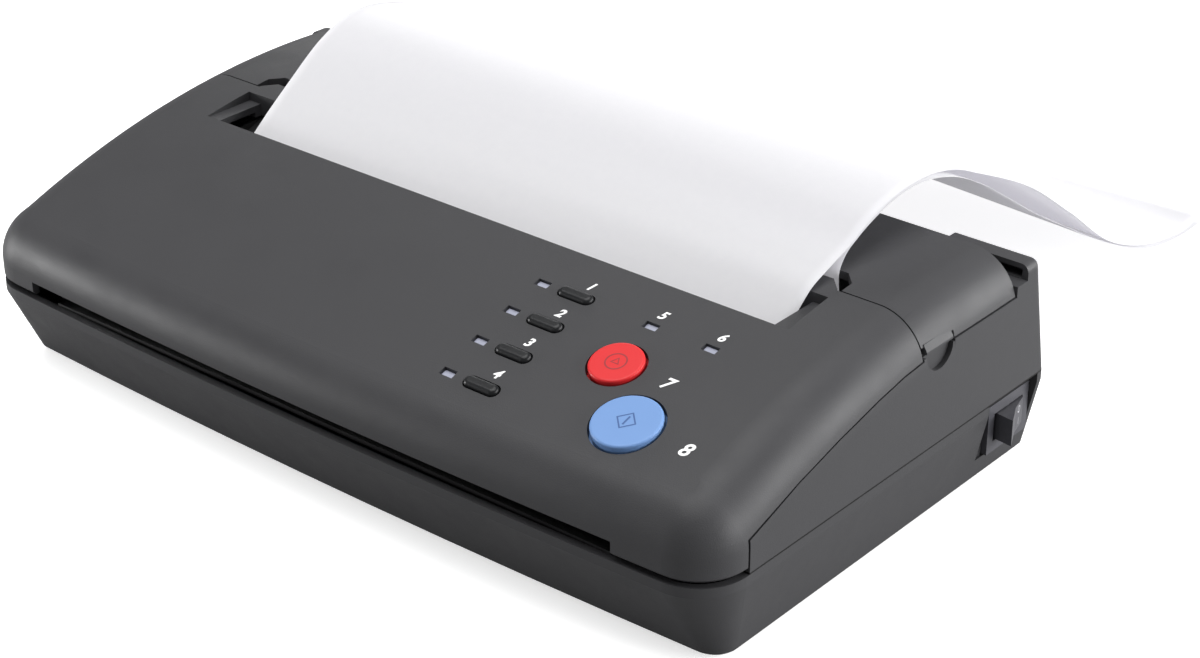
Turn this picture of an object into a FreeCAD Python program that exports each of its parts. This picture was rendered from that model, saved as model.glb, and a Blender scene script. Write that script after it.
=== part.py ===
"""Thermal stencil copier: a desk-top machine with a moulded case, a control cover that tips forward, a rear lid
on hinges, two loaded sheets, and the rollers, heads, gears, motor and boards that it holds.

The machine is modelled with x to the right, y from front to rear and z up from the underside of the base pan.
Each piece is moved to the part's own frame when it is saved. All lengths are in millimetres."""
import FreeCAD, Part
import math
import os
from FreeCAD import Placement, Rotation, Vector

os.makedirs("parts", exist_ok=True)

# Width, from the sheet outwards: window, guides, chassis plates and case
sheet_width = 210.0
window_margin = 5.9
sheet_guide_gap = 0.4
ledge_width = 5.1
bridge_margin = 4.6
guide_margin = 0.6
chute_wall = 1.5
tab_length = 8.0
side_room = 24.4
window_half_width = sheet_width / 2 + window_margin
ledge_half_width = window_half_width + ledge_width
bridge_half_width = window_half_width + bridge_margin
guide_half_width = window_half_width + guide_margin
tab_inner_x = guide_half_width + chute_wall
plate_inner_x = tab_inner_x + tab_length
case_half_width = plate_inner_x + side_room
sheet_right_x = window_half_width - sheet_guide_gap
roller_margin = 1.1
roller_half_length = window_half_width + roller_margin
scan_half_length = window_half_width
exit_left_margin = 9.6
exit_right_margin = 2.6
exit_left_x = -window_half_width - exit_left_margin
exit_right_x = window_half_width + exit_right_margin
sink_inset = 10.9
sink_half_length = window_half_width - sink_inset
lid_wall_inset = 0.9
lid_wall_half_width = window_half_width - lid_wall_inset

# Case outline in plan
front_y = -84.5
rear_y = 80.0
front_bow = 3.2
front_corner_r = 16.0
rear_corner_r = 3.0
wall = 2.5
seam_gap = 0.5
upright_seam_gap = 0.8
overrun = 30.0

# Base pan: a short upright band, then walls that draw in to the underside
seam_z = 27.5
band_height = 3.0
base_front_inset = 12.2
base_side_inset = 5.3
base_bottom_corner_r = 7.0
base_edge_chamfer = 1.2
floor_thickness = 2.5

# Sheet openings in the front of the control cover
exit_top_z = 33.4

# Side view of the upper case: one long arc for the top, a leaning rear wall
top_front_y = -70.0
top_front_z = 50.1
top_middle_y = -9.8
top_middle_z = 66.8
top_rear_y = 50.0
top_rear_z = 71.4
edge_r = 15.5
rear_lean = 7.4
rear_lean_height = 37.5
lid_rear_y = 59.7

# Seams between the control cover, the casing and the lid
cover_lip_z = 28.8
cover_lip_bevel = 1.2
cover_seam_y = -64.6
cover_seam_z = 37.8
cover_seam_bends = [(-43.7, 45.1), (-26.2, 49.9), (-8.0, 54.0), (4.0, 56.1)]
lid_seam_y = 13.0
cover_side_end_z = 57.0
lid_side_z = 58.9
notch_rear_y = 28.3
notch_top_z = 60.9
notch_low_z = 57.7
casing_top_z = 58.4
tab_end_gap = 0.9
tab_top_z = 61.6
tab_bend_z = 59.5
tab_low_z = 58.8
tab_root_inset = 3.4
tab_top_inset = 1.4
tab_low_inset = 0.2
bridge_y = 17.4
bridge_chamfer = 4.0
slot_depth = 4.8
slot_side_gap = 1.6
scoop_r = 6.6
scoop_depth = 1.6
scoop_y = 21.0
scoop_z = 58.5

# Window in the control cover
window_front_y = -9.8
window_rear_y = 8.5
bridge_wall_thickness = 2.0
bridge_wall_low_z = 62.4
ledge_z = 66.4
ledge_thickness = 2.2

# Rear hinge towers and the deck in front of them
tower_width = 28.4
tower_inner_x = case_half_width - tower_width
tower_top_z = 66.6
tower_front_y = 65.5
tower_edge_r = 2.6
tower_slot_inner_inset = 18.9
tower_slot_outer_inset = 2.0
tower_slot_depth = 4.5
tower_slot_low_z = 62.0
tower_slot_top_z = 65.0
deck_z = 61.8
middle_deck_z = 57.0
lid_pivot_y = 68.0
lid_pivot_z = 61.5
lid_pin_r = 1.5
lid_ear_r = 3.0
lid_ear_width = 4.4
lid_ear_gap = 0.4
lid_arm_root = 9.0
lid_wall_thickness = 2.0
lid_wall_low_z = 58.6
pin_grip = 6.0
running_clearance = 0.05

# Hinge of the control cover, near its front lower corners
cover_pivot_y = -78.8
cover_pivot_z = 32.2
cover_pin_r = 1.0
lug_r = 2.2
lug_width = 3.5
lug_inset = 23.4
lug_inner_x = case_half_width - lug_inset
lug_relief = 0.4
lug_arm_rise = 1.4
lug_arm_front = 1.4
lug_arm_low = 1.7
lug_post_front_y = -68.0
lug_post_rear_y = -64.0
lug_post_top_z = 29.0
lug_post_under_z = 26.5
ear_r = 2.8
ear_width = 3.5
ear_gap = 0.5
ear_inner_x = lug_inner_x + lug_width + ear_gap
ear_height = 16.0
ear_reach = 7.0

# Feet and case screws
foot_inset = 33.4
foot_x = case_half_width - foot_inset
case_screw_inset = 11.4
case_screw_x = case_half_width - case_screw_inset
foot_r = 7.0
foot_height = 2.7
foot_recess = 1.2
foot_front_y = -50.0
foot_rear_y = 56.0
foot_edge_r = 0.8
case_screw_front_y = -52.0
case_screw_rear_y = 44.0
case_screw_r = 1.5
case_screw_head_r = 2.9
case_screw_head_z = 2.0
case_screw_head_height = 2.0
case_screw_length = 30.0
case_post_r = 4.2
case_post_join_z = 24.0
case_post_top_z = 38.0
case_rib_thickness = 2.4
post_gap = 0.2
screw_clearance = 0.2

# Control panel
panel_hole_clearance = 0.8
key_x = 54.3
key_first_y = -26.4
key_pitch_y = -13.3
key_count = 4
key_length = 12.0
key_width = 4.0
key_clearance = 0.4
key_edge_r = 1.4
key_height = 1.3
key_travel = 0.6
lamp_x = 41.9
lamp_length = 4.6
lamp_width = 2.6
lamp_sink = 1.1
lamp_clearance = 0.1
power_lamp_x = 81.8
error_lamp_x = 102.5
row_lamp_y = -26.9
stop_x = 83.5
stop_y = -43.7
stop_r = 8.0
stop_height = 1.1
copy_x = 100.5
copy_y = -59.9
copy_r = 10.1
copy_height = 1.2
button_travel = 0.8
cap_edge_r = 0.7
cap_flange = 1.7
cap_flange_height = 0.8
cap_rest_gap = 0.9
stem_r = 1.6
board_depth = 7.9
board_thickness = 1.6
board_half_length = 25.0
board_post_inset = 3.4
board_post_root = 0.5
board_screw_depth = 4.0
board_left_x = 34.0
board_right_x = 119.0
switch_side = 6.0
switch_height = 1.5
switch_stem_r = 1.5
switch_stem_height = 0.4
stem_gap = 0.1
board_post_r = 2.2
board_screw_r = 1.2
board_screw_head_r = 2.2
board_screw_head_height = 1.2

# Power switch in its pocket at the right rear
pocket_depth = 4.4
pocket_face_x = case_half_width - pocket_depth
pocket_front_y = 49.4
pocket_rear_y = 75.6
pocket_low_z = 8.2
pocket_pad = 3.0
pocket_rim = 1.4
switch_y = 64.4
switch_z = 16.5
bezel_half_y = 10.8
bezel_half_z = 8.0
bezel_thickness = 2.0
rocker_pivot_out = 1.0
rocker_half_y = 7.2
rocker_half_z = 4.3
rocker_end_gap = 0.45
rocker_side_gap = 0.3
rocker_tip = 7.0
rocker_valley = 3.5
rocker_low_end = 1.5
rocker_front_waist = 0.8
rocker_waist_out = 1.0
rocker_heel = 1.0
rocker_front_heel_half_y = 5.6
rocker_rear_heel_half_y = 6.6
rocker_in = 2.6
rocker_swing_room = 0.9
rocker_pin_r = 1.0
switch_housing_half_y = 9.4
switch_housing_half_z = 6.4
switch_housing_depth = 14.0
terminal_width = 4.8
terminal_thickness = 0.8
terminal_length = 6.0
terminal_pitch = 5.6

# Power jack in the rear wall
jack_x = 80.0
jack_half_width = 4.5
jack_height = 9.0
jack_depth = 14.0
jack_bore_r = 3.0
jack_bore_depth = 9.5
jack_pin_r = 1.0
jack_rear_y = 79.4
jack_hole_gap = 0.3

# Chassis plates and what they carry
plate_thickness = 1.2
gear_gap = 1.6
gear_inner_x = plate_inner_x + plate_thickness + gear_gap
plate_foot = 8.0
plate_foot_half = 30.0
plate_front_y = -60.0
plate_nose_z = 30.0
plate_top_front_y = -45.0
plate_top_z = 50.4
plate_top_rear_y = 18.0
plate_rear_y = 46.0
plate_motor_end_y = 68.0
plate_tail_z = 40.0
bush_r = 4.0
bush_length = 3.0
shaft_r = 2.5
shaft_end = 2.0
feed_r = 5.0
platen_y = 10.0
platen_z = 34.0
platen_r = 8.0
tie_r = 3.0
tie_y = 28.0
tie_z = 11.0
gear_width = 5.0
gear_module = 0.75
gear_backlash = 0.16
flank_steps = 4
pressure_angle = 20.0
addendum_factor = 0.9
dedendum_factor = 1.3
platen_teeth = 28
feed_teeth = 24
front_idler_teeth = 36
rear_idler_teeth = 40
pinion_teeth = 12
front_idler_direction = 181.9
feed_direction = 147.7
rear_idler_direction = -25.6
motor_direction = -13.3
gear_bore_r = 2.2
axle_r = 2.0
axle_head_r = 3.2
axle_head = 1.0
axle_end_gap = 0.2
axle_clearance = 0.05
motor_r = 14.0
motor_length = 18.0
motor_boss_r = 4.0
motor_bearing = 8.0
motor_shaft_r = 1.25
motor_ear = 1.0
motor_ear_reach = 20.0
motor_ear_half = 4.0

# Scan bar, guides and print head
scan_half_width = 8.5
scan_height = 10.6
scan_glass_thickness = 1.2
scan_glass_margin = 2.0
glass_proud = 0.3
scan_tab_height = 5.0
nip_gap = 0.35
guide_thickness = 1.4
chute_rear_y = 9.6
chute_rear_z = 61.6
chute_middle_y = -4.0
chute_middle_z = 56.0
chute_end_y = -23.0
chute_end_z = 43.2
chute_side_height = 4.0
chute_tab_half = 3.0
guide_tab_depth = 4.0
guide_start_z = 38.8
guide_bend_y = -58.0
guide_bend_z = 32.4
guide_end_y = -75.5
guide_end_z = 31.2
exit_guide_start_y = -3.0
exit_guide_start_z = 22.6
exit_guide_bend_y = -50.0
exit_guide_bend_z = 22.6
exit_guide_end_y = -80.0
exit_guide_end_z = 28.2
head_half_width = 8.0
head_thickness = 3.0
sink_thickness = 6.0
sink_fin_height = 5.0
sink_fin_count = 5
sink_fin_thickness = 1.4
spring_x = 70.0
spring_r = 3.0
spring_wire_r = 0.4
spring_turns = 5
sink_tab_half = 4.0
spring_core_r = 1.6

# Main board
main_board_left_x = -58.0
main_board_right_x = 100.0
main_board_front_y = 40.0
main_board_rear_y = 74.0
main_board_z = 8.0
main_post_r = 3.0
main_post_inset = 5.0
chip_half = 6.0
chip_height = 1.6
chip_xs = [-30.0, 20.0]
capacitor_r = 5.0
capacitor_height = 12.0
capacitor_xs = [44.0, 58.0]
connector_half = 6.0
connector_depth = 5.0
connector_inset = 2.0
connector_height = 6.0
connector_xs = [-40.0, -20.0, 0.0]

# Sheets: A4 paper, made thicker than paper so that the solids hold together
sheet_length = 297.0
sheet_thickness = 0.4
original_right = [(-23.7, 46.2), (-19.0, 50.6), (-6.0, 60.2), (2.0, 66.0), (8.0, 70.5), (16.0, 73.6), (25.4, 76.8),
                  (38.2, 82.2), (54.0, 85.2),
                  (65.8, 84.9), (78.2, 82.2), (93.5, 75.6), (125.7, 59.3), (148.7, 43.3), (183.2, 19.0),
                  (217.0, 7.8), (238.3, 6.8), (246.0, 10.5)]
original_left = [(-23.7, 46.2), (-19.0, 51.3), (-6.0, 63.2), (11.2, 76.3), (27.8, 87.2), (37.2, 90.9), (48.8, 91.7),
                 (55.8, 90.6), (62.9, 88.7), (86.8, 77.1), (112.0, 64.9), (138.5, 52.1), (166.4, 38.6),
                 (195.9, 24.3), (227.0, 9.2), (246.0, 1.5)]
transfer_right = [(13.9, 26.4), (17.3, 29.4), (19.2, 34.0), (22.0, 42.0), (23.4, 50.0), (22.9, 58.0), (21.4, 66.0),
                  (21.4, 70.6), (24.0, 74.6), (29.9, 78.0), (38.2, 81.2), (54.0, 84.1), (65.8, 83.3), (78.2, 79.9),
                  (93.5, 72.5), (109.6, 62.2), (126.4, 51.0), (149.5, 37.2), (177.1, 21.4), (205.0, 9.0),
                  (232.0, 4.6), (252.0, 5.4)]
transfer_left = [(13.9, 26.4), (17.3, 29.4), (19.2, 34.0), (22.0, 42.0), (23.4, 50.0), (22.7, 58.0), (21.2, 66.0),
                 (21.0, 71.5), (24.0, 77.5),
                 (29.8, 84.0), (38.2, 89.0), (48.8, 90.4), (55.8, 89.4), (62.9, 87.5), (86.8, 75.9), (112.0, 63.6),
                 (138.5, 50.8), (166.4, 37.3), (195.9, 23.0), (227.0, 7.9), (246.0, 0.6)]
sheet_point_count = 96
sheet_smooth_share = 20


def circle_through(first, second, third):
    """Centre and radius, in the y-z plane, of the circle through three points."""
    ay, az = first
    by, bz = second
    cy, cz = third
    d = (ay - cy) * (bz - cz) - (by - cy) * (az - cz)
    p = ((ay - cy) * (ay + cy) + (az - cz) * (az + cz)) / 2
    q = ((by - cy) * (by + cy) + (bz - cz) * (bz + cz)) / 2
    centre_y = (p * (bz - cz) - q * (az - cz)) / d
    centre_z = (q * (ay - cy) - p * (by - cy)) / d
    return centre_y, centre_z, math.hypot(ay - centre_y, az - centre_z)


arc_y, arc_z, arc_r = circle_through((top_front_y, top_front_z), (top_middle_y, top_middle_z), (top_rear_y, top_rear_z))


def top_z(y, depth=0.0):
    """Height of the top of the case at y, or of a surface that lies depth below it."""
    return arc_z + math.sqrt((arc_r - depth) ** 2 - (y - arc_y) ** 2)


def box(x0, x1, y0, y1, z0, z1):
    return Part.makeBox(x1 - x0, y1 - y0, z1 - z0, Vector(x0, y0, z0))


def rod_x(x0, x1, y, z, r):
    """Cylinder along x from x0 to x1."""
    return Part.makeCylinder(r, x1 - x0, Vector(x0, y, z), Vector(1, 0, 0))


def rod_z(x, y, z0, z1, r):
    return Part.makeCylinder(r, z1 - z0, Vector(x, y, z0))


def prism_x(points, x0, x1):
    """Solid from an outline of (y, z) points, drawn out along x."""
    corners = [Vector(x0, y, z) for y, z in points]
    wire = Part.makePolygon(corners + corners[:1])
    return Part.Face(wire).extrude(Vector(x1 - x0, 0, 0))


def prism_y(points, y0, y1):
    """Solid from an outline of (x, z) points, drawn out along y."""
    corners = [Vector(x, y0, z) for x, z in points]
    wire = Part.makePolygon(corners + corners[:1])
    return Part.Face(wire).extrude(Vector(0, y1 - y0, 0))


def prism_z(points, z0, z1):
    """Solid from an outline of (x, y) points, drawn out along z."""
    corners = [Vector(x, y, z0) for x, y in points]
    wire = Part.makePolygon(corners + corners[:1])
    return Part.Face(wire).extrude(Vector(0, 0, z1 - z0))


def arc(start, middle, end):
    return Part.Arc(start, middle, end).toShape()


def outline(z, front, half, rear, corner_r, rear_r):
    """Plan outline of the case at height z: a bowed front, tangent front corners, straight sides and rear."""
    bow_r = (case_half_width ** 2 + front_bow ** 2) / (2 * front_bow)
    centre_y = front + bow_r
    corner_x = half - corner_r
    corner_y = centre_y - math.sqrt((bow_r - corner_r) ** 2 - corner_x ** 2)
    reach = bow_r / (bow_r - corner_r)
    touch_x = corner_x * reach
    touch_y = centre_y + (corner_y - centre_y) * reach
    out = Vector((touch_x - corner_x) / corner_r + 1, (touch_y - corner_y) / corner_r, 0)
    out.normalize()
    middle_x = corner_x + out.x * corner_r
    middle_y = corner_y + out.y * corner_r
    quarter = rear_r * (1 - math.sqrt(0.5))
    edges = [arc(Vector(-touch_x, touch_y, z), Vector(0, front, z), Vector(touch_x, touch_y, z)),
             arc(Vector(touch_x, touch_y, z), Vector(middle_x, middle_y, z), Vector(half, corner_y, z)),
             Part.makeLine(Vector(half, corner_y, z), Vector(half, rear - rear_r, z)),
             arc(Vector(half, rear - rear_r, z), Vector(half - quarter, rear - quarter, z),
                 Vector(half - rear_r, rear, z)),
             Part.makeLine(Vector(half - rear_r, rear, z), Vector(rear_r - half, rear, z)),
             arc(Vector(rear_r - half, rear, z), Vector(quarter - half, rear - quarter, z),
                 Vector(-half, rear - rear_r, z)),
             Part.makeLine(Vector(-half, rear - rear_r, z), Vector(-half, corner_y, z)),
             arc(Vector(-half, corner_y, z), Vector(-middle_x, middle_y, z), Vector(-touch_x, touch_y, z))]
    return Part.Wire(edges)


def base_outline(z, inset):
    """Outline of the base pan at height z, moved in by inset."""
    share = max(0.0, (seam_z - band_height - z) / (seam_z - band_height))
    corner = front_corner_r + (base_bottom_corner_r - front_corner_r) * share
    return outline(z, front_y + base_front_inset * share + inset, case_half_width - base_side_inset * share - inset,
                   rear_y - inset, corner - inset, rear_corner_r - min(inset, wall))


def base_solid(inset, low_z, high_z, chamfer):
    levels = [base_outline(low_z + chamfer, inset), base_outline(seam_z - band_height, inset),
              base_outline(high_z, inset)]
    if chamfer:
        levels.insert(0, base_outline(low_z, inset + chamfer))
    return Part.makeLoft(levels, True, True)


def case_block():
    """Upper case before its top is shaped: the plan outline drawn up, with the rear wall leaning in."""
    height = top_rear_z + overrun
    block = Part.Face(outline(seam_z, front_y, case_half_width, rear_y + overrun, front_corner_r,
                              rear_corner_r)).extrude(Vector(0, 0, height))
    far = case_half_width + overrun
    far_y = rear_y + overrun + overrun
    lean_low = rear_lean * overrun / rear_lean_height
    lean_top = rear_lean * height / rear_lean_height
    behind = prism_x([(rear_y + lean_low, seam_z - overrun), (far_y, seam_z - overrun), (far_y, seam_z + height),
                      (rear_y - lean_top, seam_z + height)], -far, far)
    block = block.cut(behind)
    upright = [edge for edge in block.Edges
               if abs(abs(edge.CenterOfMass.x) - case_half_width) < wall
               and edge.CenterOfMass.y > lid_rear_y and abs(edge.tangentAt(edge.FirstParameter).z) > 1 / 2]
    return block.makeFillet(rear_corner_r, upright)


def hump(inset):
    """The case in front of the lid's rear edge, under its long top arc, with its upper edges rounded."""
    far = case_half_width + overrun
    start_y = front_y - wall
    end_y = lid_rear_y + overrun * bool(inset)
    low_z = seam_z - overrun
    edges = [arc(Vector(-far, start_y, top_z(start_y, inset)), Vector(-far, top_middle_y, top_z(top_middle_y, inset)),
                 Vector(-far, end_y, top_z(end_y, inset))),
             Part.makeLine(Vector(-far, end_y, top_z(end_y, inset)), Vector(-far, end_y, low_z)),
             Part.makeLine(Vector(-far, end_y, low_z), Vector(-far, start_y, low_z)),
             Part.makeLine(Vector(-far, start_y, low_z), Vector(-far, start_y, top_z(start_y, inset)))]
    profile = Part.Face(Part.Wire(edges)).extrude(Vector(2 * far, 0, 0))
    block = Part.Face(outline(low_z if inset else seam_z, front_y + inset, case_half_width - inset,
                              rear_y + overrun * 2, front_corner_r - inset, rear_corner_r)).extrude(
        Vector(0, 0, top_rear_z + overrun))
    solid = block.common(profile)
    rim = [edge for edge in solid.Edges
           if edge.BoundBox.ZMin > cover_seam_z + wall and edge.BoundBox.YMin < end_y - seam_gap]
    return solid.makeFillet(edge_r - inset, rim)


def stadium(length, width, z0, z1):
    """Upright solid with straight sides and round ends, long along x."""
    half = length / 2 - width / 2
    solid = box(-half, half, -width / 2, width / 2, z0, z1)
    for x in (-half, half):
        solid = solid.fuse(rod_z(x, 0, z0, z1, width / 2))
    return solid.removeSplitter()


def fused(shapes):
    return shapes[0].multiFuse(shapes[1:]).removeSplitter()


def ring_x(x0, x1, y, z, outer_r, inner_r):
    return rod_x(x0, x1, y, z, outer_r).cut(rod_x(x0, x1, y, z, inner_r))


# Mesh distances of the gears, and the shaft positions that follow from them
def mesh_distance(first, second):
    return gear_module * (first + second) / 2


def stepped(y, z, distance, direction):
    return y + distance * math.cos(math.radians(direction)), z + distance * math.sin(math.radians(direction))


front_idler_y, front_idler_z = stepped(platen_y, platen_z, mesh_distance(platen_teeth, front_idler_teeth),
                                       front_idler_direction)
feed_y, feed_z = stepped(front_idler_y, front_idler_z, mesh_distance(front_idler_teeth, feed_teeth), feed_direction)
rear_idler_y, rear_idler_z = stepped(platen_y, platen_z, mesh_distance(platen_teeth, rear_idler_teeth),
                                     rear_idler_direction)
motor_y, motor_z = stepped(rear_idler_y, rear_idler_z, mesh_distance(rear_idler_teeth, pinion_teeth),
                           motor_direction)

board_mid_y = (key_first_y + copy_y) / 2
panel_tilt = math.degrees(math.asin((arc_y - board_mid_y) / arc_r))
far_x = case_half_width + overrun
case_top_z = top_rear_z + overrun

# Seam between the casing below and the cover and lid above, seen from the side
seam_line = [(cover_seam_y, cover_seam_z)] + cover_seam_bends + [(lid_seam_y, cover_side_end_z)]


def on_panel(shape, x, y):
    """Move a piece made about the origin, with its outer side up, onto the tilted control panel."""
    moved = shape.copy()
    moved.Placement = Placement(Vector(x, y, top_z(y)), Rotation(Vector(1, 0, 0), panel_tilt)).multiply(
        moved.Placement)
    return moved


def board_drop(y):
    """Depth of the control board's upper face below the panel at y, along the panel's normal."""
    rise = top_z(y) - top_z(board_mid_y)
    tilt = math.radians(panel_tilt)
    return board_depth + rise * math.cos(tilt) - (y - board_mid_y) * math.sin(tilt)


key_places = [(key_x, key_first_y + key_pitch_y * index) for index in range(key_count)]
lamp_places = [(lamp_x, y) for x, y in key_places] + [(power_lamp_x, row_lamp_y), (error_lamp_x, row_lamp_y)]
button_places = [(stop_x, stop_y, stop_r), (copy_x, copy_y, copy_r)]


def shell():
    return hump(0.0).cut(hump(wall))


case_shell = shell()
case_hump = hump(0.0)


def window_rim(side):
    """Solid edge round one end of the window, under its flat ledge."""
    x0, x1 = sorted((side * (window_half_width - wall), side * (ledge_half_width + wall)))
    return case_hump.common(box(x0, x1, window_front_y - wall, window_rear_y + wall,
                                ledge_z - ledge_thickness, case_top_z))


def cover_ear(x0):
    """Hinge ear inside a front corner of the cover."""
    ear = prism_x([(cover_pivot_y - ear_r, cover_pivot_z), (cover_pivot_y + ear_r, cover_pivot_z),
                   (cover_pivot_y + ear_reach, cover_pivot_z + ear_height),
                   (cover_pivot_y - ear_r, cover_pivot_z + ear_height)], x0, x0 + ear_width)
    return ear.fuse(rod_x(x0, x0 + ear_width, cover_pivot_y, cover_pivot_z, ear_r)).common(case_hump)


def eased_lip(body):
    """Bevel the outer lower edge of the cover, so that it clears the base pan as the cover tips forward."""
    bevel_top = cover_lip_z + cover_lip_bevel
    rear = rear_y + overrun
    low = outline(cover_lip_z, front_y + cover_lip_bevel, case_half_width - cover_lip_bevel, rear,
                  front_corner_r - cover_lip_bevel, rear_corner_r)
    high = outline(bevel_top, front_y, case_half_width, rear, front_corner_r, rear_corner_r)
    rim = body.common(Part.makeLoft([low, high], True, True))
    upper = body.common(box(-far_x, far_x, front_y - overrun, rear, bevel_top, case_top_z))
    return fused([upper, rim])


def control_cover():
    side = [(front_y - overrun, cover_lip_z), (cover_seam_y - upright_seam_gap, cover_lip_z),
            (cover_seam_y - upright_seam_gap, cover_seam_z + seam_gap)]
    side += [(y, z + seam_gap) for y, z in seam_line[1:-1]]
    side += [(lid_seam_y - seam_gap / 2, cover_side_end_z + seam_gap), (lid_seam_y - seam_gap / 2, case_top_z),
             (front_y - overrun, case_top_z)]
    body = eased_lip(case_shell.common(prism_x(side, -far_x, far_x)))
    tongue = prism_z([(-bridge_half_width, window_rear_y), (bridge_half_width, window_rear_y),
                      (bridge_half_width, bridge_y - bridge_chamfer), (bridge_half_width - bridge_chamfer, bridge_y),
                      (bridge_chamfer - bridge_half_width, bridge_y), (-bridge_half_width, bridge_y - bridge_chamfer)],
                     cover_side_end_z, case_top_z)
    bridge_wall = case_hump.common(box(-ledge_half_width, ledge_half_width, window_rear_y - wall,
                                       window_rear_y + bridge_wall_thickness, bridge_wall_low_z, case_top_z))
    body = fused([body, case_shell.common(tongue), window_rim(1), window_rim(-1), bridge_wall])
    cuts = [box(-window_half_width, window_half_width, window_front_y, window_rear_y, cover_seam_z, case_top_z),
            box(-ledge_half_width, ledge_half_width, window_front_y, window_rear_y, ledge_z, case_top_z),
            box(exit_left_x, exit_right_x, front_y - overrun, cover_pivot_y, seam_z - overrun, exit_top_z)]
    for x, y, r in button_places:
        cuts.append(on_panel(rod_z(0, 0, -wall - wall, wall, r + panel_hole_clearance), x, y))
    for x, y in key_places:
        grow = 2 * key_clearance
        cuts.append(on_panel(stadium(key_length + grow, key_width + grow, -wall - wall, wall), x, y))
    for x, y in lamp_places:
        cuts.append(on_panel(lamp_block(lamp_clearance, -wall - wall, wall), x, y))
    relief_width = ear_inner_x - lug_inner_x + lug_relief
    for x0 in hinge_spans(lug_inner_x - lug_relief, relief_width):
        cuts.append(rod_x(x0, x0 + relief_width, cover_pivot_y, cover_pivot_z, lug_r + lug_relief))
    body = body.cut(cuts)
    ears = [cover_ear(x0) for x0 in hinge_spans(ear_inner_x, ear_width)]
    body = fused([body] + ears + board_posts())
    bores = [rod_x(x0, x0 + ear_width, cover_pivot_y, cover_pivot_z, cover_pin_r + running_clearance)
             for x0 in hinge_spans(ear_inner_x, ear_width)]
    return body.cut(bores + [on_board(rod_z(x, y, -board_depth, -board_depth + board_screw_depth, board_screw_r))
                             for x, y in board_corners()])


def hinge_spans(inner, width):
    """Lower x of a piece that starts at the distance inner from the middle, on each side."""
    return (inner, -inner - width)


def lamp_block(grow, z0, z1):
    return box(-lamp_length / 2 - grow, lamp_length / 2 + grow, -lamp_width / 2 - grow, lamp_width / 2 + grow, z0, z1)


def on_board(shape):
    """Move a piece made in the control board's own frame, whose zero level is the panel, into the machine."""
    return on_panel(shape, 0, board_mid_y)


def board_corners():
    return [(x, y) for x in (board_left_x + board_post_inset, board_right_x - board_post_inset)
            for y in (board_post_inset - board_half_length, board_half_length - board_post_inset)]


def board_posts():
    return [on_board(rod_z(x, y, -board_depth, -wall + board_post_root, board_post_r)) for x, y in board_corners()]


def control_board():
    board = box(board_left_x, board_right_x, -board_half_length, board_half_length,
                -board_depth - board_thickness, -board_depth)
    holes = [rod_z(x, y, -board_depth - overrun, overrun, board_screw_r + screw_clearance)
             for x, y in board_corners()]
    return on_board(board.cut(holes))


def board_screws():
    low = -board_depth - board_thickness
    return Part.makeCompound([on_board(rod_z(x, y, low, -board_depth + board_screw_depth, board_screw_r).fuse(
        rod_z(x, y, low - board_screw_head_height, low, board_screw_head_r))) for x, y in board_corners()])


def tact_switches():
    places = key_places + [(x, y) for x, y, r in button_places]
    half = switch_side / 2
    switches = []
    for x, y in places:
        low = -board_drop(y)
        body = box(-half, half, -half, half, low, low + switch_height)
        stem = rod_z(0, 0, low, low + switch_height + switch_stem_height, switch_stem_r)
        switches.append(on_panel(body.fuse(stem), x, y))
    return Part.makeCompound(switches)


def indicator_lenses():
    return Part.makeCompound([on_panel(lamp_block(0, -board_drop(y), -lamp_sink), x, y) for x, y in lamp_places])


def stem_end(y, travel):
    """Level of a stem's lower end that stays clear of its switch when the button is fully in."""
    return -board_drop(y) + switch_height + switch_stem_height + travel + stem_gap


def cap_low():
    return -wall - cap_rest_gap - cap_flange_height


def round_button(x, y, r, height):
    cap = rod_z(0, 0, cap_low(), height, r)
    cap = cap.makeFillet(cap_edge_r, [edge for edge in cap.Edges if edge.BoundBox.ZMin > height - cap_edge_r])
    flange = rod_z(0, 0, cap_low(), -wall - cap_rest_gap, r + cap_flange)
    stem = rod_z(0, 0, stem_end(y, button_travel), cap_low(), stem_r)
    return on_panel(fused([cap, flange, stem]), x, y)


def key_cap(x, y):
    cap = stadium(key_length, key_width, cap_low(), key_height)
    cap = cap.makeFillet(key_edge_r, [edge for edge in cap.Edges if edge.BoundBox.ZMin > key_height - key_edge_r])
    flange = stadium(key_length + 2 * cap_flange, key_width + 2 * cap_flange, cap_low(), -wall - cap_rest_gap)
    stem = rod_z(0, 0, stem_end(y, key_travel), cap_low(), stem_r)
    return on_panel(fused([cap, flange, stem]), x, y)


def lid_arm(x0):
    """Hinge arm from the lid's underside back to its pin."""
    root_y = lid_rear_y - lid_arm_root
    arm = prism_x([(root_y, top_z(root_y) - wall / 2), (lid_rear_y - seam_gap, top_z(lid_rear_y) - wall / 2),
                   (lid_pivot_y, lid_pivot_z + lid_ear_r), (lid_pivot_y, lid_pivot_z - lid_ear_r),
                   (root_y, lid_pivot_z - lid_ear_r)], x0, x0 + lid_ear_width)
    return arm.fuse(rod_x(x0, x0 + lid_ear_width, lid_pivot_y, lid_pivot_z, lid_ear_r))


def lid_tab(side):
    """Small lip on the lid's side edge, above the finger scoop."""
    root_x = case_half_width - tab_root_inset
    points = [(root_x, tab_top_z), (case_half_width - tab_top_inset, tab_top_z),
              (case_half_width - tab_low_inset, tab_bend_z), (case_half_width - tab_low_inset, tab_low_z),
              (root_x, tab_low_z)]
    return prism_y([(side * x, z) for x, z in points], lid_seam_y + seam_gap + tab_end_gap,
                   notch_rear_y - tab_end_gap)


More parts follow.
